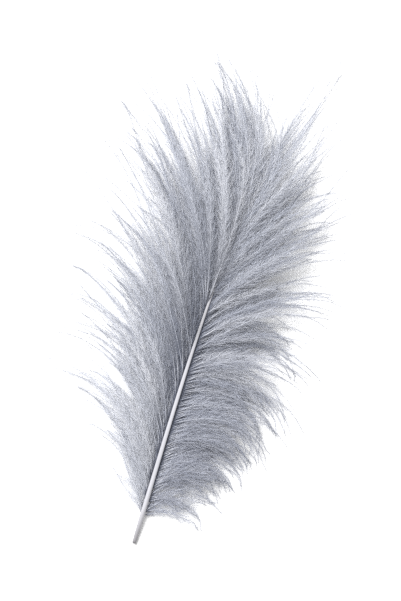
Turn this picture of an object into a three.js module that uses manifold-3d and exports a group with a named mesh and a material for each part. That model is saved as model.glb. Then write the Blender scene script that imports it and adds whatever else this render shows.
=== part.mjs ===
// A grey marabou plume lying on a flat surface: one shaft whose soft locks of barbs fan out to
// both sides, fused to it as they grow from it. Millimetres, +Z up, +Y from the quill to the tip.
// The locks lean, curl and droop along smooth paths, and lie flat where they touch the surface.

import * as THREE from "three";
import { mergeVertices } from "three/addons/utils/BufferGeometryUtils.js";
import Module from "manifold-3d";

const wasm = await Module();
wasm.setup();

// The shaft: where it runs, how far it lifts off the surface, and how thick it is
const SHAFT_LENGTH = 84;
const SHAFT_LEAN = 0.085;
const SHAFT_HOOK = 4.5;
const SHAFT_HOOK_FROM = 90;
const SHAFT_RISE = 4.5;
const SHAFT_RISE_TURN = 0.6 * Math.PI;
const QUILL_RADIUS = 0.58;
const QUILL_CUT_RADIUS = 0.45;
const QUILL_SWELL_AT = 6;
const SHAFT_TIP_RADIUS = 0.16;
const BARE_QUILL = 9;

// The locks: how many grow on each side, and how large one is at its fullest
const LOCKS_PER_SIDE = 32;
const LOCK_HALF_WIDTH = 2.6;
const LOCK_HALF_THICKNESS = 1.1;
const FULL_REACH = 40;

// Each side's locks at seven even stations, from the lowest on the shaft to those at its end:
// their length, and their headings at the root and at the tip, outwards from +Y in degrees
const LEFT = {
  side: -1,
  reach: [22, 42, 52, 55, 53, 42, 33],
  root: [28, 18, 14, 12, 10, 8, 12],
  tip: [80, 74, 68, 58, 45, 36, 32],
};
const RIGHT = {
  side: 1,
  reach: [17, 25, 30, 33, 38, 46, 33],
  root: [50, 56, 60, 52, 34, 24, -8],
  tip: [140, 152, 158, 122, 60, 32, -30],
};

// How late on its way a lock turns outwards
const FLARE = 1.4;

// How far neighbouring locks differ: the shortest and longest as shares of their station's reach,
// and the spread of their headings at the tip, in degrees
const LOCK_LENGTH = { shortest: 0.78, longest: 1.02 };
const HEADING_SPREAD = 32;

// Odd locks form an upper layer that arches over, by these slopes in degrees; even ones form a
// lower layer that slopes down from the shaft and levels out where it lies on the surface
const ARCH = { root: 20, tip: -26 };
const LYING_HEIGHT = 0.25;
const LYING_SLOPE = { root: 1.95, tip: 0.05 };

// Where the middle of the plume's footprint is, measured from the quill's cut end
const FOOTPRINT_MIDDLE = { x: 3.66, y: 57.57 };

// How finely the solids are faceted
const SHAFT_SIDES = 8;
const SHAFT_STEPS = 14;
const LOCK_SIDES = 6;
const PATH_STEPS = 24;

// A lock's outline: its half width as a share of the fullest, at shares of its length
const LOCK_OUTLINE = [
  [0, 0],
  [0.18, 0.03],
  [0.5, 0.2],
  [0.92, 0.45],
  [1, 0.62],
  [0.72, 0.82],
  [0.3, 0.95],
  [0, 1],
];

const UP = new THREE.Vector3(0, 0, 1);

// A repeatable spread of values from 0 to 1, so that neighbouring locks differ
function scatter(index, seed) {
  const value = index * 0.618034 + seed * 0.414214;
  return value - Math.floor(value);
}

// The value at share u of the way along a list of evenly spaced stations
function along(stations, u) {
  const place = u * (stations.length - 1);
  const before = Math.min(Math.floor(place), stations.length - 2);
  return THREE.MathUtils.lerp(stations[before], stations[before + 1], place - before);
}

// The middle of the shaft at a distance y from the quill's cut end
function shaftPoint(y) {
  const x = SHAFT_LEAN * y + SHAFT_HOOK * (y / SHAFT_HOOK_FROM) ** 4;
  const z = QUILL_CUT_RADIUS + SHAFT_RISE * Math.sin((SHAFT_RISE_TURN * y) / SHAFT_LENGTH);
  return new THREE.Vector3(x, y, z);
}

// The line that a lock follows, from its root in the shaft to its tip
function lockPath(vane, index) {
  const u = index / (LOCKS_PER_SIDE - 1);
  const root = shaftPoint(THREE.MathUtils.lerp(BARE_QUILL, SHAFT_LENGTH, u));
  const { shortest, longest } = LOCK_LENGTH;
  const share = THREE.MathUtils.lerp(shortest, longest, scatter(index, vane.side + 2));
  const reach = along(vane.reach, u) * share;
  const rootHeading = along(vane.root, u);
  const tipHeading = along(vane.tip, u) + HEADING_SPREAD * (scatter(index, vane.side + 5) - 0.5);
  const fall = THREE.MathUtils.radToDeg(Math.asin((LYING_HEIGHT - root.z) / reach));
  const lying = { root: fall * LYING_SLOPE.root, tip: fall * LYING_SLOPE.tip };
  const slope = index % 2 ? ARCH : lying;
  const points = [root];
  for (let step = 1; step <= PATH_STEPS; step++) {
    const t = (step - 0.5) / PATH_STEPS;
    const turn = THREE.MathUtils.degToRad(THREE.MathUtils.lerp(rootHeading, tipHeading, t ** FLARE));
    const lift = THREE.MathUtils.degToRad(THREE.MathUtils.lerp(slope.root, slope.tip, t));
    const move = new THREE.Vector3(
      vane.side * Math.sin(turn) * Math.cos(lift),
      Math.cos(turn) * Math.cos(lift),
      Math.sin(lift),
    );
    points.push(points.at(-1).clone().addScaledVector(move, reach / PATH_STEPS));
  }
  return points;
}

// A spindle turned from an outline along +Y, bent along a path and scaled across and upright
function bentSpindle(outline, sides, path, halfWidth, halfThickness) {
  const curve = new THREE.CatmullRomCurve3(path);
  const profile = outline.map(([radius, share]) => new THREE.Vector2(radius, share));
  const geometry = new THREE.LatheGeometry(profile, sides);
  const position = geometry.getAttribute("position");
  for (let i = 0; i < position.count; i++) {
    const across = position.getX(i) * halfWidth;
    const upright = position.getZ(i) * halfThickness;
    const share = THREE.MathUtils.clamp(position.getY(i), 0, 1);
    const tangent = curve.getTangent(share);
    const side = tangent.clone().cross(UP).normalize();
    const normal = side.clone().cross(tangent);
    const place = curve.getPoint(share).addScaledVector(side, across).addScaledVector(normal, upright);
    position.setXYZ(i, place.x, place.y, place.z);
  }
  return geometry;
}

// A closed geometry as a solid that can be joined and cut
function solidOf(geometry) {
  const bare = geometry.clone().deleteAttribute("normal").deleteAttribute("uv");
  const merged = mergeVertices(bare, 1e-4);
  const corners = merged.index.array;
  const kept = [];
  for (let i = 0; i < corners.length; i += 3) {
    const [a, b, c] = corners.slice(i, i + 3);
    if (a !== b && b !== c && c !== a) kept.push(a, b, c);
  }
  const mesh = new wasm.Mesh({
    numProp: 3,
    vertProperties: new Float32Array(merged.getAttribute("position").array),
    triVerts: new Uint32Array(kept),
  });
  return new wasm.Manifold(mesh);
}

// The geometry of a finished solid
function geometryOf(solid) {
  const mesh = solid.getMesh();
  const geometry = new THREE.BufferGeometry();
  geometry.setAttribute("position", new THREE.BufferAttribute(mesh.vertProperties, 3));
  geometry.setIndex(new THREE.BufferAttribute(mesh.triVerts, 1));
  geometry.computeVertexNormals();
  return geometry;
}

// The shaft: a quill with a blunt cut end that narrows all the way to the tip
function makeShaft() {
  const path = [];
  for (let step = 0; step <= PATH_STEPS; step++) {
    path.push(shaftPoint((SHAFT_LENGTH * step) / PATH_STEPS));
  }
  const outline = [
    [0, 0],
    [QUILL_CUT_RADIUS, 0],
  ];
  for (let step = 1; step <= SHAFT_STEPS; step++) {
    const share = step / SHAFT_STEPS;
    const swell = Math.min(1, (share * SHAFT_LENGTH) / QUILL_SWELL_AT);
    const full = THREE.MathUtils.lerp(QUILL_CUT_RADIUS, QUILL_RADIUS, swell);
    outline.push([THREE.MathUtils.lerp(full, SHAFT_TIP_RADIUS, share), share]);
  }
  outline.push([0, 1]);
  return solidOf(bentSpindle(outline, SHAFT_SIDES, path, 1, 1));
}

// A lock: a soft spindle that is full past its middle and ends in a point
function makeLock(vane, index) {
  const path = lockPath(vane, index);
  const scale = along(vane.reach, index / (LOCKS_PER_SIDE - 1)) / FULL_REACH;
  const halfWidth = LOCK_HALF_WIDTH * Math.sqrt(scale);
  const halfThickness = LOCK_HALF_THICKNESS * Math.sqrt(scale);
  return solidOf(bentSpindle(LOCK_OUTLINE, LOCK_SIDES, path, halfWidth, halfThickness));
}

// Everything below the surface that the plume lies on
function makeGround() {
  const size = 4 * SHAFT_LENGTH;
  const depth = 40;
  const block = new THREE.BoxGeometry(size, size, depth);
  return solidOf(block.translate(0, 0, -depth / 2));
}

function makeFeather() {
  let feather = makeShaft();
  for (const vane of [LEFT, RIGHT]) {
    for (let index = 0; index < LOCKS_PER_SIDE; index++) {
      feather = feather.add(makeLock(vane, index));
    }
  }
  const material = new THREE.MeshStandardMaterial({ color: 0xb0b3bb, roughness: 0.9, metalness: 0 });
  const mesh = new THREE.Mesh(geometryOf(feather.subtract(makeGround())), material);
  mesh.name = "feather";
  mesh.position.set(-FOOTPRINT_MIDDLE.x, -FOOTPRINT_MIDDLE.y, 0);
  return mesh;
}

const plume = new THREE.Group();
plume.add(makeFeather());

export default plume;
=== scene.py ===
"""A grey marabou plume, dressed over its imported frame: the shaft, the barbs that grow from it, and
the fine down on every barb. Lengths are in metres, angles in degrees unless a comment says radians,
and +Y runs from the quill to the tip."""

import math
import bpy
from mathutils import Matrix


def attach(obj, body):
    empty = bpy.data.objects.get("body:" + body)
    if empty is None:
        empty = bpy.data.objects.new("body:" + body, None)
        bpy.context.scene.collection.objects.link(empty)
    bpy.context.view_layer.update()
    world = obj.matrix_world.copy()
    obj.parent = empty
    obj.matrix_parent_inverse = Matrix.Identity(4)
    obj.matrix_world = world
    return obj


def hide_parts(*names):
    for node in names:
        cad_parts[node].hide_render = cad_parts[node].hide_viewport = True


bl_info = {
    "name": "Marabou plume",
    "version": (1, 0, 0),
    "blender": (4, 5, 0),
    "location": "3D View > Sidebar > Plume",
    "description": "Builds a downy grey plume over its packed frame",
    "category": "Object",
}

import bpy
import numpy as np
from bpy.props import FloatProperty, FloatVectorProperty, IntProperty, PointerProperty

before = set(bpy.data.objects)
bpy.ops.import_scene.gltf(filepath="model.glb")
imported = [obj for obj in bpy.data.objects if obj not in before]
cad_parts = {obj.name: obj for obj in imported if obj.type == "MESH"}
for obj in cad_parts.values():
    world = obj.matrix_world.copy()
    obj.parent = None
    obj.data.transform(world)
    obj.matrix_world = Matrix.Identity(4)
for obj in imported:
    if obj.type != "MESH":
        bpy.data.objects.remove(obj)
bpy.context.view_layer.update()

MM = 0.001
NODE = "feather"
BODY = "root"

# The two sides, as they are seen from above with the tip away from the viewer
SIDES = {"left": -1, "right": 1}

# The parts that the down of each side is made in, from the quill to the tip
PARTS = ("lower", "middle", "upper")

# How finely the meshes are made
SHAFT_RINGS = 121
SHAFT_SIDES = 24
STEM_SIDES = 3

# The hollow in the quill's cut end, from its bottom to the rim: places as shares of its depth, and
# radii as shares of the quill's
BORE_PLACES = (1.0, 0.83, 0.1, 0.0)
BORE_RADII = (0.05, 0.6, 0.68, 0.74)

# The shaft's cross-section above the quill: the groove's half width in radians, how far the sides
# are flattened, as a share of the radius, and the length over which both begin
GROOVE_WIDTH = 0.4
FLATTENING = 0.07
SHAPED_OVER = 12 * MM

# Where barbs leave the shaft, in shares of its radius: how far out from its middle, and how high
# over it, where the shaft is bare and where barbs cover it
ROOT_OUT = 0.85
BARE_ROOT_HEIGHT = -0.4
COVERED_ROOT_HEIGHT = 0.7

# The lowest barbs, in shares of the way up the shaft: the spread of their roots, how low the lowest
# may sit, and where the loose roots and the loose headings end
LOOSE_ROOTS = 0.035
LOWEST_ROOT = -0.03
LOOSE_ROOTS_TO = 0.1
LOOSE_TURN_TO = 0.12

# The share of the shaft over which barbs close over it
COVERED_OVER = 0.15

# How far a random heading may lie from the usual one, in spreads
FURTHEST = 1.7

# How a lock's barbs differ in height, where 0 lies on the floor and 1 arches over
HEIGHT_SPREAD = 0.2
GREATEST_HEIGHT = 1.2

# How high over the floor barbs, from the least to the most, and barbules stay
BARB_CLEARANCE = (0.15 * MM, 0.5 * MM)
BARBULE_CLEARANCE = 0.02 * MM

# How many waves a barb makes on its way and how large they are, from the least to the most
WAVES = (1.2, 2.6)
WAVE_SIZE = (0.1 * MM, 0.45 * MM)

# How long barbules are, as shares of their full length, at shares of the way along their barb
BARBULE_PLACES = (0, 0.05, 0.2, 0.5, 0.75, 1)
BARBULE_LENGTHS = (0.4, 0.5, 1, 0.95, 0.45, 0.12)

# How neighbouring barbules differ in length: the logarithm of the usual factor, its spread, and the
# largest factor
LENGTH_USUAL = -0.25
LENGTH_SPREAD = 0.5
LENGTH_MOST = 2.4

# How far barbules crowd towards their barb's root, where 1 is evenly, and the share of the way up
# the shaft from which they thin out
CROWDING = 1.75
THINNED_FROM = 0.65

# Barbules that cover the shaft: how long they are at least, and up to which share of their barb
COVERING_LENGTH = 0.8
COVERING_TO = 0.3

# Barbules that hang down beside a bare shaft: up to which share of their barb, up to how much cover,
# and how far down in radians
HANGING_TO = 0.12
HANGING_COVER = 0.75
HANGING_ROLL = 0.5

# How barbules lie: the spread of their lean in degrees, how much of it they keep at the tip, and how
# far they face upwards
LEAN_SPREAD = 9
KEPT_LEAN = (0.2, 0.7)
FACING_UP = 1.2

# Places on the map, in shares of one barb's column: the margin beside a tube, how far a barbule lies
# from the column's middle, and how wide and how long it is
MAP_MARGIN = 0.1
MAP_OUT = 0.4
MAP_WIDTH = 0.3
MAP_LENGTH = 0.01

# Where the colour changes, in shares of a barb's length: from where to where the painted shade
# beside the shaft ends at the stems' roots, and from where to where more dye grows towards the tips
# of the stems and of the down
STEM_ROOT_SHADE = (0.025, 0.09)
STEM_TIP_DYE = (0.5, 1.0)
DOWN_TIP_DYE = (0.65, 1.0)

# How far the stems' roots take that painted shade, and the share of the way up the shaft below
# which the lowest barbs all have the low down's colour, which is painted light and shade
STEM_ROOT_SHARE = 0.95
LOW_FROM = 0.1

# The patches in the dye, by their width in barbs and their length, and the ridges along the quill
PATCH_BARBS = 4
PATCH_LENGTH = 7 * MM
RIDGE_SPACING = 0.3 * MM
RIDGE_LENGTH = 12 * MM
RIDGE_HEIGHT = 0.03 * MM

# What sets the down's random choices apart from the barbs'
DOWN_SEED = 10

FLOOR_SIZE = 6


def linear(hex_colour):
    """The linear red, green and blue of an sRGB hex colour such as "b0b3bb"."""
    channels = [int(hex_colour[i : i + 2], 16) / 255 for i in (0, 2, 4)]
    return tuple(c / 12.92 if c <= 0.04045 else ((c + 0.055) / 1.055) ** 2.4 for c in channels)


class PlumeShaft(bpy.types.PropertyGroup):
    """Where the shaft runs and how thick it is."""

    length: FloatProperty(
        name="Length",
        description="From the quill's cut end to the shaft's tip",
        default=84 * MM,
        unit="LENGTH",
    )
    lean: FloatProperty(
        name="Lean", description="Sideways run for each unit of length", default=0.085
    )
    hook: FloatProperty(
        name="Hook",
        description="How far the upper shaft bends to the right",
        default=4.5 * MM,
        unit="LENGTH",
    )
    hook_from: FloatProperty(
        name="Hook length",
        description="Length over which the hook is measured",
        default=90 * MM,
        unit="LENGTH",
    )
    rise: FloatProperty(
        name="Rise",
        description="How far the down lifts the shaft",
        default=4.5 * MM,
        unit="LENGTH",
    )
    rise_turn: FloatProperty(
        name="Rise turn", description="Angle of the wave that lifts the shaft", default=108.0
    )
    quill_radius: FloatProperty(
        name="Quill radius",
        description="Radius where the quill is thickest",
        default=0.58 * MM,
        unit="LENGTH",
    )
    cut_radius: FloatProperty(
        name="Cut radius",
        description="Radius of the quill's cut end",
        default=0.45 * MM,
        unit="LENGTH",
    )
    swell_at: FloatProperty(
        name="Swell", description="Where the quill is thickest", default=6 * MM, unit="LENGTH"
    )
    tip_radius: FloatProperty(
        name="Tip radius",
        description="Radius at the shaft's tip",
        default=0.16 * MM,
        unit="LENGTH",
    )
    taper: FloatProperty(
        name="Taper", description="How late on its way the shaft narrows", default=1.4
    )
    bare_quill: FloatProperty(
        name="Bare quill",
        description="Length that carries no barbs",
        default=9 * MM,
        unit="LENGTH",
    )
    bore_depth: FloatProperty(
        name="Bore depth",
        description="Depth of the hollow in the quill's cut end",
        default=3 * MM,
        unit="LENGTH",
    )
    groove: FloatProperty(
        name="Groove",
        description="Depth of the groove below the shaft, as a share of its radius",
        default=0.35,
        subtype="FACTOR",
    )
    middle: FloatVectorProperty(
        name="Footprint middle",
        description="The footprint's middle, measured from the quill's cut end",
        size=2,
        default=(3.66 * MM, 57.57 * MM),
        unit="LENGTH",
    )


class PlumeVanes(bpy.types.PropertyGroup):
    """How the barbs lie, at seven even stations from the lowest to those at the shaft's tip."""

    left_reach: FloatVectorProperty(
        name="Left reach",
        description="Length of the left barbs",
        size=7,
        default=(22 * MM, 42 * MM, 52 * MM, 55 * MM, 53 * MM, 42 * MM, 33 * MM),
        unit="LENGTH",
    )
    left_root: FloatVectorProperty(
        name="Left roots",
        description="Heading of the left barbs at the root",
        size=7,
        default=(28, 18, 14, 12, 10, 8, 12),
    )
    left_tip: FloatVectorProperty(
        name="Left tips",
        description="Heading of the left barbs at the tip",
        size=7,
        default=(80, 74, 68, 58, 45, 36, 32),
    )
    right_reach: FloatVectorProperty(
        name="Right reach",
        description="Length of the right barbs",
        size=7,
        default=(17 * MM, 25 * MM, 30 * MM, 33 * MM, 38 * MM, 46 * MM, 33 * MM),
        unit="LENGTH",
    )
    right_root: FloatVectorProperty(
        name="Right roots",
        description="Heading of the right barbs at the root",
        size=7,
        default=(50, 56, 60, 52, 34, 24, -8),
    )
    right_tip: FloatVectorProperty(
        name="Right tips",
        description="Heading of the right barbs at the tip",
        size=7,
        default=(140, 152, 158, 122, 60, 32, -30),
    )
    flare: FloatProperty(
        name="Flare", description="How late on its way a barb turns outwards", default=1.4
    )
    arch: FloatVectorProperty(
        name="Arch",
        description="Slope of the highest barbs at the root and at the tip",
        size=2,
        default=(20, -26),
    )
    lying_height: FloatProperty(
        name="Lying height",
        description="Height of the lowest barbs' tips",
        default=0.25 * MM,
        unit="LENGTH",
    )
    lying_slope: FloatVectorProperty(
        name="Lying slope",
        description="Slope of the lowest barbs at the root and at the tip, for a mean slope of 1",
        size=2,
        default=(1.95, 0.05),
    )
    covered_from: FloatProperty(
        name="Covered from",
        description="Share of the way up the shaft from which barbs cover it",
        default=0.57,
        subtype="FACTOR",
    )


class PlumeLocks(bpy.types.PropertyGroup):
    """How the barbs gather in locks, and how far single barbs stray from them."""

    seed: IntProperty(name="Seed", description="Seed of every random choice", default=338)
    barbs_per_side: IntProperty(
        name="Barbs", description="Barbs on each side of the shaft", default=280
    )
    smallest: IntProperty(name="Smallest lock", description="Barbs in it", default=2)
    largest: IntProperty(name="Largest lock", description="Barbs in it", default=10)
    end_lock: IntProperty(
        name="End lock", description="Barbs of each side in the plume's pointed end", default=16
    )
    lengths: FloatVectorProperty(
        name="Lock lengths",
        description="Shortest, usual and longest lock, as shares of the vane's reach",
        size=3,
        default=(0.78, 0.92, 1.15),
    )
    shortest_barb: FloatProperty(
        name="Shortest barb",
        description="Length of a lock's shortest barbs, as a share of its longest",
        default=0.5,
        subtype="FACTOR",
    )
    gather: FloatVectorProperty(
        name="Gathering",
        description="How far barbs draw in to their lock at the tip, at least and at most",
        size=2,
        default=(0.05, 0.6),
    )
    end_gather: FloatProperty(
        name="End gathering",
        description="How far barbs of the end lock draw in at the tip, at least",
        default=0.6,
        subtype="FACTOR",
    )
    gather_from: FloatProperty(
        name="Gather from",
        description="Share of a barb's length at which it begins to draw in",
        default=0.4,
        subtype="FACTOR",
    )
    lock_turn: FloatProperty(
        name="Lock turn", description="Spread of the locks' headings at the tip", default=6.0
    )
    root_turn: FloatProperty(
        name="Root turn", description="Spread of the barbs' headings at the root", default=4.0
    )
    tip_turn: FloatProperty(
        name="Tip turn", description="Spread of the barbs' headings at the tip", default=14.0
    )
    stray_share: FloatProperty(
        name="Strays", description="Share of barbs that stray", default=0.18, subtype="FACTOR"
    )
    stray_turn: FloatProperty(
        name="Stray turn", description="How much wider the strays' headings spread", default=2.0
    )
    stray_reach: FloatProperty(
        name="Stray reach", description="How much longer the strays are", default=1.25
    )
    loose_turn: FloatProperty(
        name="Loose turn",
        description="How much wider the headings of the lowest barbs spread",
        default=2.0,
    )


class PlumeDown(bpy.types.PropertyGroup):
    """The stem of each barb and the barbules on it. Real barbules are about 0.01 mm wide and grow
    closer together: they are drawn wider and fewer, so that they show."""

    steps: IntProperty(name="Steps", description="Straight stretches in one barb", default=16)
    barb_radius: FloatProperty(
        name="Barb radius",
        description="Radius of a barb's stem at its root",
        default=0.085 * MM,
        unit="LENGTH",
    )
    barb_taper: FloatProperty(
        name="Barb taper",
        description="Share of its radius that a stem loses on its way to the tip",
        default=0.5,
        subtype="FACTOR",
    )
    barbules_per_mm: FloatProperty(
        name="Barbules per mm",
        description="Barbules on a millimetre of barb, both sides counted",
        default=21,
    )
    thinning: FloatProperty(
        name="Thinning",
        description="Share of the barbules that the barbs at the shaft's tip lack",
        default=0.55,
        subtype="FACTOR",
    )
    barbule_length: FloatProperty(
        name="Barbule length",
        description="Full length of a barbule, before it is varied",
        default=2.7 * MM,
        unit="LENGTH",
    )
    barbule_width: FloatProperty(
        name="Barbule width",
        description="Width of a barbule at its middle",
        default=0.046 * MM,
        unit="LENGTH",
    )
    lean: FloatProperty(
        name="Lean", description="Angle between a barbule's base and its barb", default=32.0
    )
    roll: FloatProperty(
        name="Roll", description="Spread of the barbules above and below their barb", default=50.0
    )


class PlumeColours(bpy.types.PropertyGroup):
    """The colours of the down, the quill and the floor, with the painted light and shade laid on
    the down and the quill.
    """

    down: FloatVectorProperty(
        name="Down",
        description="Dyed down",
        subtype="COLOR",
        size=3,
        default=linear("dadbdf"),
    )
    down_dark: FloatVectorProperty(
        name="Dark down",
        description="Down that took more dye",
        subtype="COLOR",
        size=3,
        default=linear("acb0bb"),
    )
    # The lowest down's colours, left and right, and how far and how high they reach: painted light and
    # shade, the left vane painted lighter as if lit and the right darker as if shaded, and partly also a
    # darker dye near the base
    low_left: FloatVectorProperty(
        name="Low left down",
        description="Down of the lowest barbs on the left",
        subtype="COLOR",
        size=3,
        default=linear("d8dae0"),
    )
    low_right: FloatVectorProperty(
        name="Low right down",
        description="Down of the lowest barbs on the right",
        subtype="COLOR",
        size=3,
        default=linear("8b8f9e"),
    )
    low_share: FloatVectorProperty(
        name="Low share",
        description="How far the lowest barbs take the low down's colour, left and right",
        size=2,
        default=(0.5, 0.58),
    )
    low_to: FloatVectorProperty(
        name="Low to",
        description="Share of the way up the shaft where that ends, left and right",
        size=2,
        default=(0.34, 0.85),
    )
    # Painted shade beside the shaft: how far along the barbs it reaches at the middle of the plume, left
    # and right
    shaft_shade_share: FloatVectorProperty(
        name="Root share",
        description="How far up the middle barbs the roots' dye reaches, left and right",
        size=2,
        default=(0.72, 0.22),
    )
    tip_share: FloatVectorProperty(
        name="Tip share",
        description="How far the tips take the roots' dye, in the down and in the stems",
        size=2,
        default=(0.2, 0.8),
    )
    # The colour of the painted shade beside the shaft, also used for the darker dye at the barbs' tips
    shaft_shade_and_tip_dye: FloatVectorProperty(
        name="Down at the shaft",
        description="Dye that gathered at the roots",
        subtype="COLOR",
        size=3,
        default=linear("5e6373"),
    )
    stem: FloatVectorProperty(
        name="Stems",
        description="Stems of the barbs",
        subtype="COLOR",
        size=3,
        default=linear("d2d4dc"),
    )
    quill: FloatVectorProperty(
        name="Quill",
        description="Keratin of the shaft",
        subtype="COLOR",
        size=3,
        default=linear("bebec4"),
    )
    # Darker quill: the cut end, the painted shade that fades from it up the bare quill, and the darker
    # upper shaft
    quill_dark: FloatVectorProperty(
        name="Dark quill",
        description="Quill at its cut end, and the dyed upper shaft",
        subtype="COLOR",
        size=3,
        default=linear("7d7b7d"),
    )
    floor: FloatVectorProperty(
        name="Floor",
        description="Plain white floor",
        subtype="COLOR",
        size=3,
        default=linear("f4f4f4"),
    )


class PlumeStage(bpy.types.PropertyGroup):
    """The camera and the light."""

    view_height: FloatProperty(
        name="View height",
        description="Length on the floor that fills the picture's height",
        default=138 * MM,
        unit="LENGTH",
    )
    camera_distance: FloatProperty(
        name="Camera distance",
        description="Camera's height over the floor",
        default=0.9,
        unit="LENGTH",
    )
    roll: FloatProperty(
        name="Roll", description="Clockwise lean of the plume in the picture", default=11.7
    )
    lamp_place: FloatVectorProperty(
        name="Lamp place",
        description="Where the large soft lamp hangs",
        size=3,
        default=(-0.5, 0.4, 0.75),
        unit="LENGTH",
    )
    lamp_size: FloatProperty(
        name="Lamp size", description="Diameter of the lamp", default=0.7, unit="LENGTH"
    )
    lamp_power: FloatProperty(
        name="Lamp power", description="Power of the lamp, watts", default=16.0
    )
    sky: FloatProperty(
        name="Sky", description="Strength of the light from all around", default=0.68
    )


# Paths of the shaft and the barbs


def along(stations, u):
    """The values at shares u of the way along a list of evenly spaced stations."""
    return np.interp(u, np.linspace(0, 1, len(stations)), np.array(stations))


def smooth(x):
    """A soft step from 0 to 1."""
    x = np.clip(x, 0, 1)
    return x * x * (3 - 2 * x)


def shaft_point(shaft, y):
    """The middle of the shaft at distances y from the quill's cut end."""
    x = shaft.lean * y + shaft.hook * (y / shaft.hook_from) ** 4
    z = shaft.cut_radius + shaft.rise * np.sin(math.radians(shaft.rise_turn) * y / shaft.length)
    return np.stack([x - shaft.middle[0], y - shaft.middle[1], z], axis=-1)


def shaft_radius(shaft, y):
    """The shaft's radius at distances y from the quill's cut end."""
    swell = np.minimum(1, y / shaft.swell_at)
    full = shaft.cut_radius + (shaft.quill_radius - shaft.cut_radius) * swell
    return full + (shaft.tip_radius - full) * (y / shaft.length) ** shaft.taper


def covered(vanes, u):
    """How far barbs cover the shaft at shares u of the way up it, from 0 to 1."""
    return smooth((u - vanes.covered_from) / COVERED_OVER)


def traced(root, side, reach, heading, flare, slope, steps):
    """Paths that leave their roots, flare outwards and change their slope on the way."""
    t = (np.arange(steps) + 0.5) / steps
    turn = np.radians(heading[0][:, None] + (heading[1] - heading[0])[:, None] * t**flare)
    lift = np.radians(slope[0][:, None] + (slope[1] - slope[0])[:, None] * t)
    level = np.cos(lift)
    move = np.stack([side * np.sin(turn) * level, np.cos(turn) * level, np.sin(lift)], axis=-1)
    points = root[:, None] + np.cumsum(move * (reach / steps)[:, None, None], axis=1)
    return np.concatenate([root[:, None], points], axis=1)


def spread(rng, size, count):
    """Random values around 0, of a usual size and with none too far out."""
    return size * np.clip(rng.normal(0, 1, count), -FURTHEST, FURTHEST)


def wavy(path, rng):
    """Paths with a slight sideways wave, which grows towards the tip."""
    count, points = path.shape[:2]
    t = np.linspace(0, 1, points)
    run = np.gradient(path, axis=1)
    across = np.stack([run[..., 1], -run[..., 0], np.zeros((count, points))], axis=-1)
    across /= np.linalg.norm(across, axis=-1, keepdims=True)
    waves = rng.uniform(*WAVES, count)[:, None] * t + rng.uniform(0, 1, count)[:, None]
    size = rng.uniform(*WAVE_SIZE, count)[:, None] * t
    return path + across * (size * np.sin(2 * math.pi * waves))[..., None]


def barb_paths(scene, name):
    """Every barb on one side: its path from the shaft to its tip, its share of the way up the shaft
    and its length. Neighbours gather in loose locks, some high and some lying on the floor."""
    shaft = scene.plume_shaft
    vanes = scene.plume_vanes
    locks = scene.plume_locks
    down = scene.plume_down
    side = SIDES[name]
    rng = np.random.default_rng(locks.seed + side)
    count = locks.barbs_per_side
    barb = np.arange(count)

    # Which lock a barb is in, and which barb the others of its lock draw in to
    sizes = rng.integers(locks.smallest, locks.largest + 1, count)
    ends = np.cumsum(sizes)
    lock = np.searchsorted(ends, barb, side="right")
    leader = np.minimum((ends - sizes // 2)[lock], count - locks.end_lock - 1)
    pointed = barb >= count - locks.end_lock
    lock = np.where(pointed, count - 1, lock)
    leader = np.where(pointed, count - 1, leader)

    # Where it leaves the shaft: the lowest stand apart, the highest sit on top of the shaft
    u = (barb + rng.uniform(0, 1, count)) / count
    u += rng.normal(0, LOOSE_ROOTS, count) * (1 - smooth(u / LOOSE_ROOTS_TO))
    u = np.clip(u, LOWEST_ROOT, 1)
    y = shaft.bare_quill + (shaft.length - shaft.bare_quill) * u
    root = shaft_point(shaft, y)
    lift = BARE_ROOT_HEIGHT + (COVERED_ROOT_HEIGHT - BARE_ROOT_HEIGHT) * covered(vanes, u)
    root[:, 0] += side * ROOT_OUT * shaft_radius(shaft, y)
    root[:, 2] += lift * shaft_radius(shaft, y)

    # How long it is, and where it heads
    reach = along(getattr(vanes, name + "_reach"), u)
    reach *= np.where(pointed, 1, rng.triangular(*locks.lengths, count)[lock])
    reach *= np.where(barb == leader, 1, rng.uniform(locks.shortest_barb, 1.0, count))
    strays = (rng.uniform(0, 1, count) < locks.stray_share) & (barb != leader)
    reach *= np.where(strays & ~pointed, locks.stray_reach, 1)
    loose = locks.loose_turn * (1 - smooth(u / LOOSE_TURN_TO))
    stray = np.where(strays, locks.stray_turn, 1.0) + loose
    root_drift = stray * (1 + covered(vanes, u)) * spread(rng, locks.root_turn, count)
    lock_drift = spread(rng, locks.lock_turn, count)[lock]
    tip_drift = lock_drift + stray * spread(rng, locks.tip_turn, count)
    heading = (
        along(getattr(vanes, name + "_root"), u) + root_drift,
        along(getattr(vanes, name + "_tip"), u) + tip_drift,
    )

    # How high it lies, between the barbs on the floor and those that arch over them
    fall = np.degrees(np.arcsin((vanes.lying_height - root[:, 2]) / reach))
    height = rng.uniform(0, 1, count)[lock] + rng.normal(0, HEIGHT_SPREAD, count)
    height = np.clip(height, 0, GREATEST_HEIGHT)
    slope = [
        lying * fall + (arch - lying * fall) * height
        for lying, arch in zip(vanes.lying_slope, vanes.arch)
    ]

    path = traced(root, side, reach, heading, vanes.flare, slope, down.steps)

    # How it draws in to the leader's path, at the same distance from the shaft
    t = np.linspace(0, 1, down.steps + 1)
    place = np.minimum(t * (reach / reach[leader])[:, None], 1) * down.steps
    before = np.minimum(place.astype(int), down.steps - 1)
    after = path[leader[:, None], before + 1]
    led = path[leader[:, None], before]
    led += (after - led) * (place - before)[..., None]
    drawn = smooth((t - locks.gather_from) / (1 - locks.gather_from))
    pull = rng.uniform(*locks.gather, count)
    pull = np.where(pointed, np.maximum(pull, locks.end_gather), pull)[:, None] * drawn
    path += pull[..., None] * (led - path)
    path = wavy(path, rng)
    path[..., 2] = np.maximum(path[..., 2], rng.uniform(*BARB_CLEARANCE, count)[:, None])
    return path, u, reach


# Meshes


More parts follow.
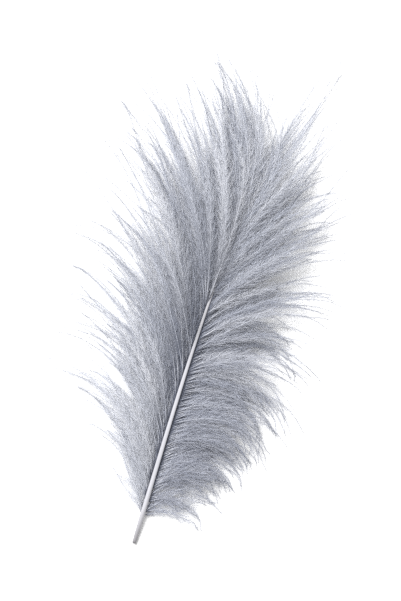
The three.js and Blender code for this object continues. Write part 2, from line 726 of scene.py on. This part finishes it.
def mesh_object(name, points, faces, uv, material):
    """A smooth mesh object made from arrays of points, triangles and one UV pair for each corner."""
    mesh = bpy.data.meshes.new(name)
    mesh.vertices.add(len(points))
    mesh.vertices.foreach_set("co", np.ascontiguousarray(points, dtype=np.float32).ravel())
    mesh.loops.add(faces.size)
    mesh.loops.foreach_set("vertex_index", np.ascontiguousarray(faces, dtype=np.int32).ravel())
    mesh.polygons.add(len(faces))
    mesh.polygons.foreach_set("loop_start", np.arange(0, faces.size, 3, dtype=np.int32))
    mesh.polygons.foreach_set("use_smooth", np.ones(len(faces), dtype=bool))
    mesh.uv_layers.new(name="OFBake")
    mesh.uv_layers[0].data.foreach_set("uv", np.ascontiguousarray(uv, dtype=np.float32).ravel())
    mesh.update(calc_edges=True)
    mesh.materials.append(material)
    piece = bpy.data.objects.new(name, mesh)
    bpy.context.scene.collection.objects.link(piece)
    return piece


def stand_for_plume(piece):
    """Lets a piece ride with the plume's body and stand for its solid, which it hides."""
    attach(piece, BODY)
    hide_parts(NODE)


def framed(run):
    """Unit vectors along runs, to the right of them and upright to them."""
    run = run / np.linalg.norm(run, axis=-1, keepdims=True)
    across = np.cross(run, (0, 0, 1))
    across /= np.linalg.norm(across, axis=-1, keepdims=True)
    return run, across, np.cross(across, run)


def tubes(paths, run, radii):
    """Closed tubes along many paths of the same number of points, with a radius for every side of
    every ring: points, triangles and corner UVs, one column of the map for each tube."""
    count, steps, sides = radii.shape
    _, across, upright = framed(run)
    angle = 2 * math.pi * np.arange(sides) / sides
    ring = across[:, :, None] * np.cos(angle)[:, None] + upright[:, :, None] * np.sin(angle)[:, None]
    points = (paths[:, :, None] + ring * radii[..., None]).reshape(-1, 3)
    first = np.arange(count)[:, None, None] * steps * sides
    a = first + np.arange(steps - 1)[:, None] * sides + np.arange(sides)
    b = first + np.arange(steps - 1)[:, None] * sides + (np.arange(sides) + 1) % sides
    wall = np.stack([a, b, b + sides, a, b + sides, a + sides], axis=-1).reshape(-1, 3)
    fan = np.stack([np.zeros(sides - 2, int), np.arange(2, sides), np.arange(1, sides - 1)], axis=-1)
    start = (first + fan).reshape(-1, 3)
    end = (first + (steps - 1) * sides + fan[:, ::-1]).reshape(-1, 3)
    faces = np.concatenate([wall, start, end])
    tube = np.repeat(np.arange(count), steps * sides)
    step = np.tile(np.repeat(np.arange(steps), sides), count)
    turn = np.tile(np.arange(sides), count * steps)
    column = (tube + MAP_MARGIN + (1 - 2 * MAP_MARGIN) * turn / sides) / count
    uv = np.stack([column, step / (steps - 1)], axis=-1)
    return points, faces, uv[faces.ravel()]


def barbules(scene, path, u, reach, chosen, rng):
    """The down on the chosen barbs of a side: each barbule is a bent blade of two triangles, aimed
    towards the barb's tip and lying mostly beside the barb. One column of the map is one barb."""
    vanes = scene.plume_vanes
    down = scene.plume_down
    barbs = scene.plume_locks.barbs_per_side
    path, u, reach = path[chosen], u[chosen], reach[chosen]
    steps = path.shape[1] - 1

    # Which barb each barbule grows on, and where
    thinned = smooth((u - THINNED_FROM) / (1 - THINNED_FROM))
    dense = down.barbules_per_mm * (1 - down.thinning * thinned)
    each = np.maximum(1, (reach / MM * dense).astype(int))
    barb = np.repeat(np.arange(len(path)), each)
    total = len(barb)
    order = np.arange(total) - np.repeat(np.cumsum(each) - each, each)
    t = ((order + rng.uniform(0, 1, total)) / each[barb]) ** CROWDING
    step = np.minimum((t * steps).astype(int), steps - 1)
    start, stop = path[barb, step], path[barb, step + 1]
    base = start + (stop - start) * (t * steps - step)[:, None]
    run, across, upright = framed(stop - start)

    # Which way it points: near an uncovered shaft all hang down, so that the shaft stays clear
    cover = covered(vanes, u[barb])
    side = rng.choice((-1.0, 1.0), total)[:, None]
    roll = rng.normal(0, math.radians(down.roll), total)
    hanging = (t < HANGING_TO) & (cover < HANGING_COVER)
    roll = np.where(hanging, -np.abs(roll) - HANGING_ROLL, roll)[:, None]
    out = side * across * np.cos(roll) + upright * np.sin(roll)
    lean = rng.normal(math.radians(down.lean), math.radians(LEAN_SPREAD), total)[:, None]
    bend = lean * rng.uniform(*KEPT_LEAN, total)[:, None]

    # How long it is: shorter at the barb's root and tip, but not where it covers the shaft
    full = np.interp(t, BARBULE_PLACES, BARBULE_LENGTHS)
    full = np.maximum(full, COVERING_LENGTH * cover * (t < COVERING_TO))
    factor = np.minimum(LENGTH_MOST, rng.lognormal(LENGTH_USUAL, LENGTH_SPREAD, total))
    length = down.barbule_length * full * factor
    half = 0.5 * length[:, None]
    elbow = base + half * (run * np.cos(lean) + out * np.sin(lean))
    tip = elbow + half * (run * np.cos(bend) + out * np.sin(bend))
    facing = rng.normal(0, 1, (total, 3)) + (0, 0, FACING_UP)
    flat = np.cross(tip - base, facing)
    flat *= 0.5 * down.barbule_width / np.linalg.norm(flat, axis=1, keepdims=True)
    corners = np.stack([base, elbow - flat, elbow + flat, tip], axis=1)
    corners[..., 2] = np.maximum(corners[..., 2], BARBULE_CLEARANCE)
    first = 4 * np.arange(total)[:, None, None]
    faces = (first + np.array([[0, 1, 2], [2, 1, 3]])).reshape(-1, 3)
    column = (np.flatnonzero(chosen)[barb] + 0.5 + MAP_OUT * side[:, 0]) / barbs
    inner = column - MAP_WIDTH * side[:, 0] / barbs
    x = np.stack([column, inner, inner, column], axis=1)
    y = np.clip(np.stack([t, t, t + MAP_LENGTH, t + MAP_LENGTH], axis=1), 0, 1)
    uv = np.stack([x, y], axis=-1).reshape(-1, 2)
    return corners.reshape(-1, 3), faces, uv[faces.ravel()]


# Materials


def add_node(tree, kind, settings=None, links=None):
    """Adds a node of a kind to a tree, sets its values and links its inputs from other sockets.
    An input goes by its name, or by its number where several share a name."""
    node = tree.nodes.new(kind)
    for name, value in (settings or {}).items():
        if isinstance(name, int) or name in node.inputs:
            node.inputs[name].default_value = value
        else:
            setattr(node, name, value)
    for name, socket in (links or {}).items():
        tree.links.new(socket, node.inputs[name])
    return node


def new_material(name):
    """An empty node material and the tree that its nodes go in."""
    material = bpy.data.materials.new(name)
    material.use_nodes = True
    material.node_tree.nodes.clear()
    return material, material.node_tree


def barb_chance(tree, across, barbs):
    """A random value from 0 to 1 for each barb's column of the map."""
    column = add_node(tree, "ShaderNodeMath", {"operation": "MULTIPLY", 1: barbs}, {0: across})
    barb = add_node(tree, "ShaderNodeMath", {"operation": "FLOOR"}, {0: column.outputs["Value"]})
    chance = add_node(
        tree, "ShaderNodeTexWhiteNoise", {"noise_dimensions": "1D"}, {"W": barb.outputs["Value"]}
    )
    return chance.outputs["Value"]


def dye_and_shade_along(tree, base, place, ends, shares, colour):
    """A base colour that takes on another by the given shares, at two ends of a place on the map."""
    share = add_node(
        tree,
        "ShaderNodeMapRange",
        {"From Min": ends[0], "From Max": ends[1], "To Min": shares[0], "To Max": shares[1]},
        {"Value": place},
    )
    mix = add_node(
        tree,
        "ShaderNodeMix",
        {"data_type": "RGBA", 7: (*colour, 1)},
        {0: share.outputs["Result"], 6: base},
    )
    return mix.outputs[2]


def finished(tree, shader):
    """Ends a material's tree in its shader."""
    add_node(tree, "ShaderNodeOutputMaterial", links={"Surface": shader.outputs["BSDF"]})


def dyed_and_shaded_down_material(name, colours, barbs, reach):
    """Dyed turkey down: keratin fibres that took the dye unevenly, in patches about four barbs wide
    and 7 mm long, and some more of it at the tips. Painted light and shade lie over it: low on the
    plume the left vane is painted lighter, as if lit, and the right vane darker, as if shaded, partly
    also a darker dye near the base; and painted shade lines the shaft where it is bare, deepest on
    the left beside its middle. It scatters light softly and never shines."""
    # One copy for each side, so that each side's painted light and shade can differ
    material, tree = new_material("dyed turkey down " + name)
    side = list(SIDES).index(name)
    place = add_node(tree, "ShaderNodeUVMap", {"uv_map": "OFBake"})
    parts = add_node(tree, "ShaderNodeSeparateXYZ", links={"Vector": place.outputs["UV"]})
    stretch = add_node(
        tree,
        "ShaderNodeMapping",
        {"Scale": (barbs / PATCH_BARBS, reach / PATCH_LENGTH, 1)},
        {"Vector": place.outputs["UV"]},
    )
    patches = add_node(
        tree, "ShaderNodeTexNoise", {"Scale": 1.0, "Detail": 2.0}, {"Vector": stretch.outputs["Vector"]}
    )
    uneven = add_node(
        tree,
        "ShaderNodeMath",
        {"operation": "ADD"},
        {0: patches.outputs["Fac"], 1: barb_chance(tree, parts.outputs["X"], barbs)},
    )
    uneven = add_node(
        tree, "ShaderNodeMapRange", {"From Min": 0.35, "From Max": 1.25}, {"Value": uneven.outputs["Value"]}
    )
    dye = add_node(
        tree,
        "ShaderNodeMix",
        {"data_type": "RGBA", 6: (*colours.down, 1), 7: (*colours.down_dark, 1)},
        {0: uneven.outputs["Result"]},
    )
    # Painted light and shade on the lowest barbs: lighter on the left, as if lit, darker on the right, as
    # if shaded; partly also a darker dye near the base
    low_ends = (LOW_FROM, colours.low_to[side])
    low_shares = (colours.low_share[side], 0.0)
    low_colour = getattr(colours, "low_" + name)
    dye = dye_and_shade_along(tree, dye.outputs[2], parts.outputs["X"], low_ends, low_shares, low_colour)
    # Painted shade beside the shaft: the down near each barb's root is painted dark where the shaft is
    # bare, further out along the barbs on the left beside the shaft's middle, and fading where barbs cover
    # the shaft
    dark_share = add_node(
        tree,
        "ShaderNodeMapRange",
        {"From Min": 0.1, "From Max": 0.36, "To Min": 0.1, "To Max": colours.shaft_shade_share[side]},
        {"Value": parts.outputs["X"]},
    )
    near = add_node(
        tree,
        "ShaderNodeMapRange",
        {"interpolation_type": "SMOOTHSTEP", "To Min": 0.88, "To Max": 0.0},
        {"Value": parts.outputs["Y"], "From Max": dark_share.outputs["Result"]},
    )
    bared = add_node(
        tree,
        "ShaderNodeMapRange",
        {"From Min": 0.45, "From Max": 0.8, "To Min": 1.0, "To Max": 0.25},
        {"Value": parts.outputs["X"]},
    )
    gathered = add_node(
        tree,
        "ShaderNodeMath",
        {"operation": "MULTIPLY"},
        {0: near.outputs["Result"], 1: bared.outputs["Result"]},
    )
    dye = add_node(
        tree,
        "ShaderNodeMix",
        {"data_type": "RGBA", 7: (*colours.shaft_shade_and_tip_dye, 1)},
        {0: gathered.outputs["Value"], 6: dye},
    )
    tip_shares = (0.0, colours.tip_share[0])
    dye = dye_and_shade_along(
        tree, dye.outputs[2], parts.outputs["Y"], DOWN_TIP_DYE, tip_shares, colours.shaft_shade_and_tip_dye
    )
    shader = add_node(
        tree,
        "ShaderNodeBsdfPrincipled",
        {"Roughness": 0.9, "Sheen Weight": 0.15, "Sheen Roughness": 0.5, "Specular IOR Level": 0.2},
        {"Base Color": dye},
    )
    finished(tree, shader)
    return material


def stem_material(colours, barbs):
    """The barbs' stems: thin bare keratin, smoother than the down on it, that took more dye in some
    barbs and towards every tip. At the root each stem is painted dark, a painted shade lining the shaft."""
    material, tree = new_material("dyed barb keratin")
    place = add_node(tree, "ShaderNodeUVMap", {"uv_map": "OFBake"})
    parts = add_node(tree, "ShaderNodeSeparateXYZ", links={"Vector": place.outputs["UV"]})
    uneven = add_node(
        tree,
        "ShaderNodeMath",
        {"operation": "MULTIPLY_ADD", 1: 0.6},
        {0: parts.outputs["Y"], 2: barb_chance(tree, parts.outputs["X"], barbs)},
    )
    uneven = add_node(
        tree, "ShaderNodeMapRange", {"From Min": 0.2, "From Max": 1.6}, {"Value": uneven.outputs["Value"]}
    )
    dye = add_node(
        tree,
        "ShaderNodeMix",
        {"data_type": "RGBA", 6: (*colours.stem, 1), 7: (*colours.down_dark, 1)},
        {0: uneven.outputs["Result"]},
    )
    on_barb = parts.outputs["Y"]
    shaft_shade_shares = (STEM_ROOT_SHARE, 0.0)
    tip_shares = (0.0, colours.tip_share[1])
    # Painted shade at the stems' roots, where they line the shaft
    dye = dye_and_shade_along(tree, dye.outputs[2], on_barb, STEM_ROOT_SHADE, shaft_shade_shares, colours.shaft_shade_and_tip_dye)
    dye = dye_and_shade_along(tree, dye, on_barb, STEM_TIP_DYE, tip_shares, colours.shaft_shade_and_tip_dye)
    shader = add_node(tree, "ShaderNodeBsdfPrincipled", {"Roughness": 0.5}, {"Base Color": dye})
    finished(tree, shader)
    return material


def quill_material(colours, shaft):
    """The shaft's keratin, grown smooth: pale with a satin gloss and fine ridges along it, darker
    towards the tip and at the cut end, with painted shade fading from the cut end up the bare quill.
    Real ridges are too fine to show, so they are drawn 0.3 mm apart."""
    material, tree = new_material("quill keratin")
    place = add_node(tree, "ShaderNodeUVMap", {"uv_map": "OFBake"})
    parts = add_node(tree, "ShaderNodeSeparateXYZ", links={"Vector": place.outputs["UV"]})
    around = 2 * math.pi * shaft.quill_radius
    stretch = add_node(
        tree,
        "ShaderNodeMapping",
        {"Scale": (around / RIDGE_SPACING, shaft.length / RIDGE_LENGTH, 1)},
        {"Vector": place.outputs["UV"]},
    )
    ridges = add_node(
        tree, "ShaderNodeTexNoise", {"Scale": 1.0, "Detail": 3.0}, {"Vector": stretch.outputs["Vector"]}
    )
    # The cut end is darker; the darkening that fades from it up the bare quill is painted shade
    cut = add_node(
        tree,
        "ShaderNodeMapRange",
        {"From Min": 0.01, "From Max": 0.14, "To Min": 0.9, "To Max": 0.0},
        {"Value": parts.outputs["Y"]},
    )
    thin = add_node(
        tree,
        "ShaderNodeMapRange",
        {"From Min": 0.45, "From Max": 1.0, "To Min": 0.0, "To Max": 0.6},
        {"Value": parts.outputs["Y"]},
    )
    darkening_and_shade = add_node(
        tree,
        "ShaderNodeMath",
        {"operation": "MAXIMUM"},
        {0: cut.outputs["Result"], 1: thin.outputs["Result"]},
    )
    dark = add_node(
        tree,
        "ShaderNodeMath",
        {"operation": "MULTIPLY_ADD", 1: 0.3, "use_clamp": True},
        {0: ridges.outputs["Fac"], 2: darkening_and_shade.outputs["Value"]},
    )
    colour = add_node(
        tree,
        "ShaderNodeMix",
        {"data_type": "RGBA", 6: (*colours.quill, 1), 7: (*colours.quill_dark, 1)},
        {0: dark.outputs["Value"]},
    )
    gloss = add_node(
        tree, "ShaderNodeMapRange", {"To Min": 0.3, "To Max": 0.5}, {"Value": ridges.outputs["Fac"]}
    )
    bump = add_node(
        tree,
        "ShaderNodeBump",
        {"Strength": 0.5, "Distance": RIDGE_HEIGHT},
        {"Height": ridges.outputs["Fac"]},
    )
    shader = add_node(
        tree,
        "ShaderNodeBsdfPrincipled",
        links={
            "Base Color": colour.outputs[2],
            "Roughness": gloss.outputs["Result"],
            "Normal": bump.outputs["Normal"],
        },
    )
    finished(tree, shader)
    return material


def floor_material(colours):
    """White seamless paper: plain, matte and even."""
    material, tree = new_material("white paper")
    shader = add_node(
        tree, "ShaderNodeBsdfPrincipled", {"Base Color": (*colours.floor, 1), "Roughness": 0.9}
    )
    finished(tree, shader)
    return material


# Operators


class PLUME_OT_shaft(bpy.types.Operator):
    """Builds the quill, hollow at its cut end, and the shaft above it, with a groove below"""

    bl_idname = "plume.shaft"
    bl_label = "Shaft"

    def execute(self, context):
        shaft = context.scene.plume_shaft
        bore = np.array(BORE_PLACES) * shaft.bore_depth
        outside = np.linspace(0, shaft.length, SHAFT_RINGS)
        y = np.concatenate([bore, outside])
        share = np.concatenate([BORE_RADII, np.ones(SHAFT_RINGS)])
        near = 0.1 * MM
        run = shaft_point(shaft, y + near) - shaft_point(shaft, y - near)
        angle = np.linspace(0, 2 * math.pi, SHAFT_SIDES, endpoint=False)
        below = 1.5 * math.pi
        groove = shaft.groove * np.exp(-(((angle - below) / GROOVE_WIDTH) ** 2))
        flat_sides = FLATTENING * np.cos(4 * angle)
        shaped = smooth((y - shaft.bare_quill) / SHAPED_OVER)[:, None]
        radii = (share * shaft_radius(shaft, y))[:, None] * (1 - shaped * (groove + flat_sides))
        points, faces, uv = tubes(shaft_point(shaft, y)[None], run[None], radii[None])
        material = quill_material(context.scene.plume_colours, shaft)
        piece = mesh_object("shaft", points, faces, uv, material)
        stand_for_plume(piece)
        return {"FINISHED"}


class PLUME_OT_barb_stems(bpy.types.Operator):
    """Builds the thin stems of all barbs, side by side"""

    bl_idname = "plume.barb_stems"
    bl_label = "Barb stems"

    def execute(self, context):
        scene = context.scene
        down = scene.plume_down
        material = stem_material(scene.plume_colours, scene.plume_locks.barbs_per_side)
        for name in SIDES:
            path, _, _ = barb_paths(scene, name)
            taper = 1 - down.barb_taper * np.linspace(0, 1, path.shape[1])
            radii = np.broadcast_to((down.barb_radius * taper)[:, None], (*path.shape[:2], STEM_SIDES))
            points, faces, uv = tubes(path, np.gradient(path, axis=1), radii)
            piece = mesh_object("barb_stems_" + name, points, faces, uv, material)
            stand_for_plume(piece)
        return {"FINISHED"}


class PLUME_OT_down(bpy.types.Operator):
    """Builds the down on all barbs, in three parts on each side"""

    bl_idname = "plume.down"
    bl_label = "Down"

    def execute(self, context):
        scene = context.scene
        locks = scene.plume_locks
        colours = scene.plume_colours
        longest = max(scene.plume_vanes.left_reach)
        for name in SIDES:
            material = dyed_and_shaded_down_material(name, colours, locks.barbs_per_side, longest)
            path, u, reach = barb_paths(scene, name)
            rng = np.random.default_rng(locks.seed + DOWN_SEED + SIDES[name])
            part = np.clip((len(PARTS) * u).astype(int), 0, len(PARTS) - 1)
            for number, part_name in enumerate(PARTS):
                points, faces, uv = barbules(scene, path, u, reach, part == number, rng)
                piece = mesh_object("down_" + name + "_" + part_name, points, faces, uv, material)
                stand_for_plume(piece)
        return {"FINISHED"}


class PLUME_OT_stage(bpy.types.Operator):
    """Builds the floor, the light and the camera"""

    bl_idname = "plume.stage"
    bl_label = "Stage"

    def execute(self, context):
        scene = context.scene
        settings = scene.plume_stage
        bpy.ops.mesh.primitive_plane_add(size=FLOOR_SIZE)
        floor = context.object
        floor.name = "floor"
        floor.data.materials.append(floor_material(scene.plume_colours))

        light = bpy.data.lights.new("soft lamp", "AREA")
        light.shape = "DISK"
        light.size = settings.lamp_size
        light.energy = settings.lamp_power
        lamp = bpy.data.objects.new("soft lamp", light)
        lamp.location = settings.lamp_place
        lamp.rotation_euler = (-lamp.location).to_track_quat("-Z", "Y").to_euler()
        scene.collection.objects.link(lamp)

        world = bpy.data.worlds.new("studio")
        world.use_nodes = True
        world.node_tree.nodes["Background"].inputs["Color"].default_value = (1, 1, 1, 1)
        world.node_tree.nodes["Background"].inputs["Strength"].default_value = settings.sky
        scene.world = world
        scene.view_settings.view_transform = "Standard"

        lens = bpy.data.cameras.new("camera")
        lens.sensor_fit = "VERTICAL"
        lens.sensor_height = 36
        lens.lens = lens.sensor_height * settings.camera_distance / settings.view_height
        camera = bpy.data.objects.new("camera", lens)
        camera.location = (0, 0, settings.camera_distance)
        camera.rotation_euler = (0, 0, math.radians(settings.roll))
        scene.collection.objects.link(camera)
        scene.camera = camera

        # Denoising would smear the fine down
        scene.cycles.use_denoising = False
        return {"FINISHED"}


class PLUME_PT_sidebar(bpy.types.Panel):
    """Lists the plume's sizes, colours and the steps that build it"""

    bl_label = "Plume"
    bl_space_type = "VIEW_3D"
    bl_region_type = "UI"
    bl_category = "Plume"

    def draw(self, context):
        for name in GROUPS:
            box = self.layout.box()
            group = getattr(context.scene, name)
            for setting in group.__annotations__:
                box.prop(group, setting)
        for operator in OPERATORS:
            self.layout.operator(operator.bl_idname)


GROUPS = {
    "plume_shaft": PlumeShaft,
    "plume_vanes": PlumeVanes,
    "plume_locks": PlumeLocks,
    "plume_down": PlumeDown,
    "plume_colours": PlumeColours,
    "plume_stage": PlumeStage,
}
OPERATORS = (PLUME_OT_shaft, PLUME_OT_barb_stems, PLUME_OT_down, PLUME_OT_stage)


def register():
    for cls in (*GROUPS.values(), *OPERATORS, PLUME_PT_sidebar):
        bpy.utils.register_class(cls)
    for name, group in GROUPS.items():
        setattr(bpy.types.Scene, name, PointerProperty(type=group))


def unregister():
    for name in GROUPS:
        delattr(bpy.types.Scene, name)
    for cls in (PLUME_PT_sidebar, *OPERATORS, *GROUPS.values()):
        bpy.utils.unregister_class(cls)


def main():
    register()
    bpy.ops.plume.shaft()
    bpy.ops.plume.barb_stems()
    bpy.ops.plume.down()
    bpy.ops.plume.stage()


if __name__ == "__main__":
    main()
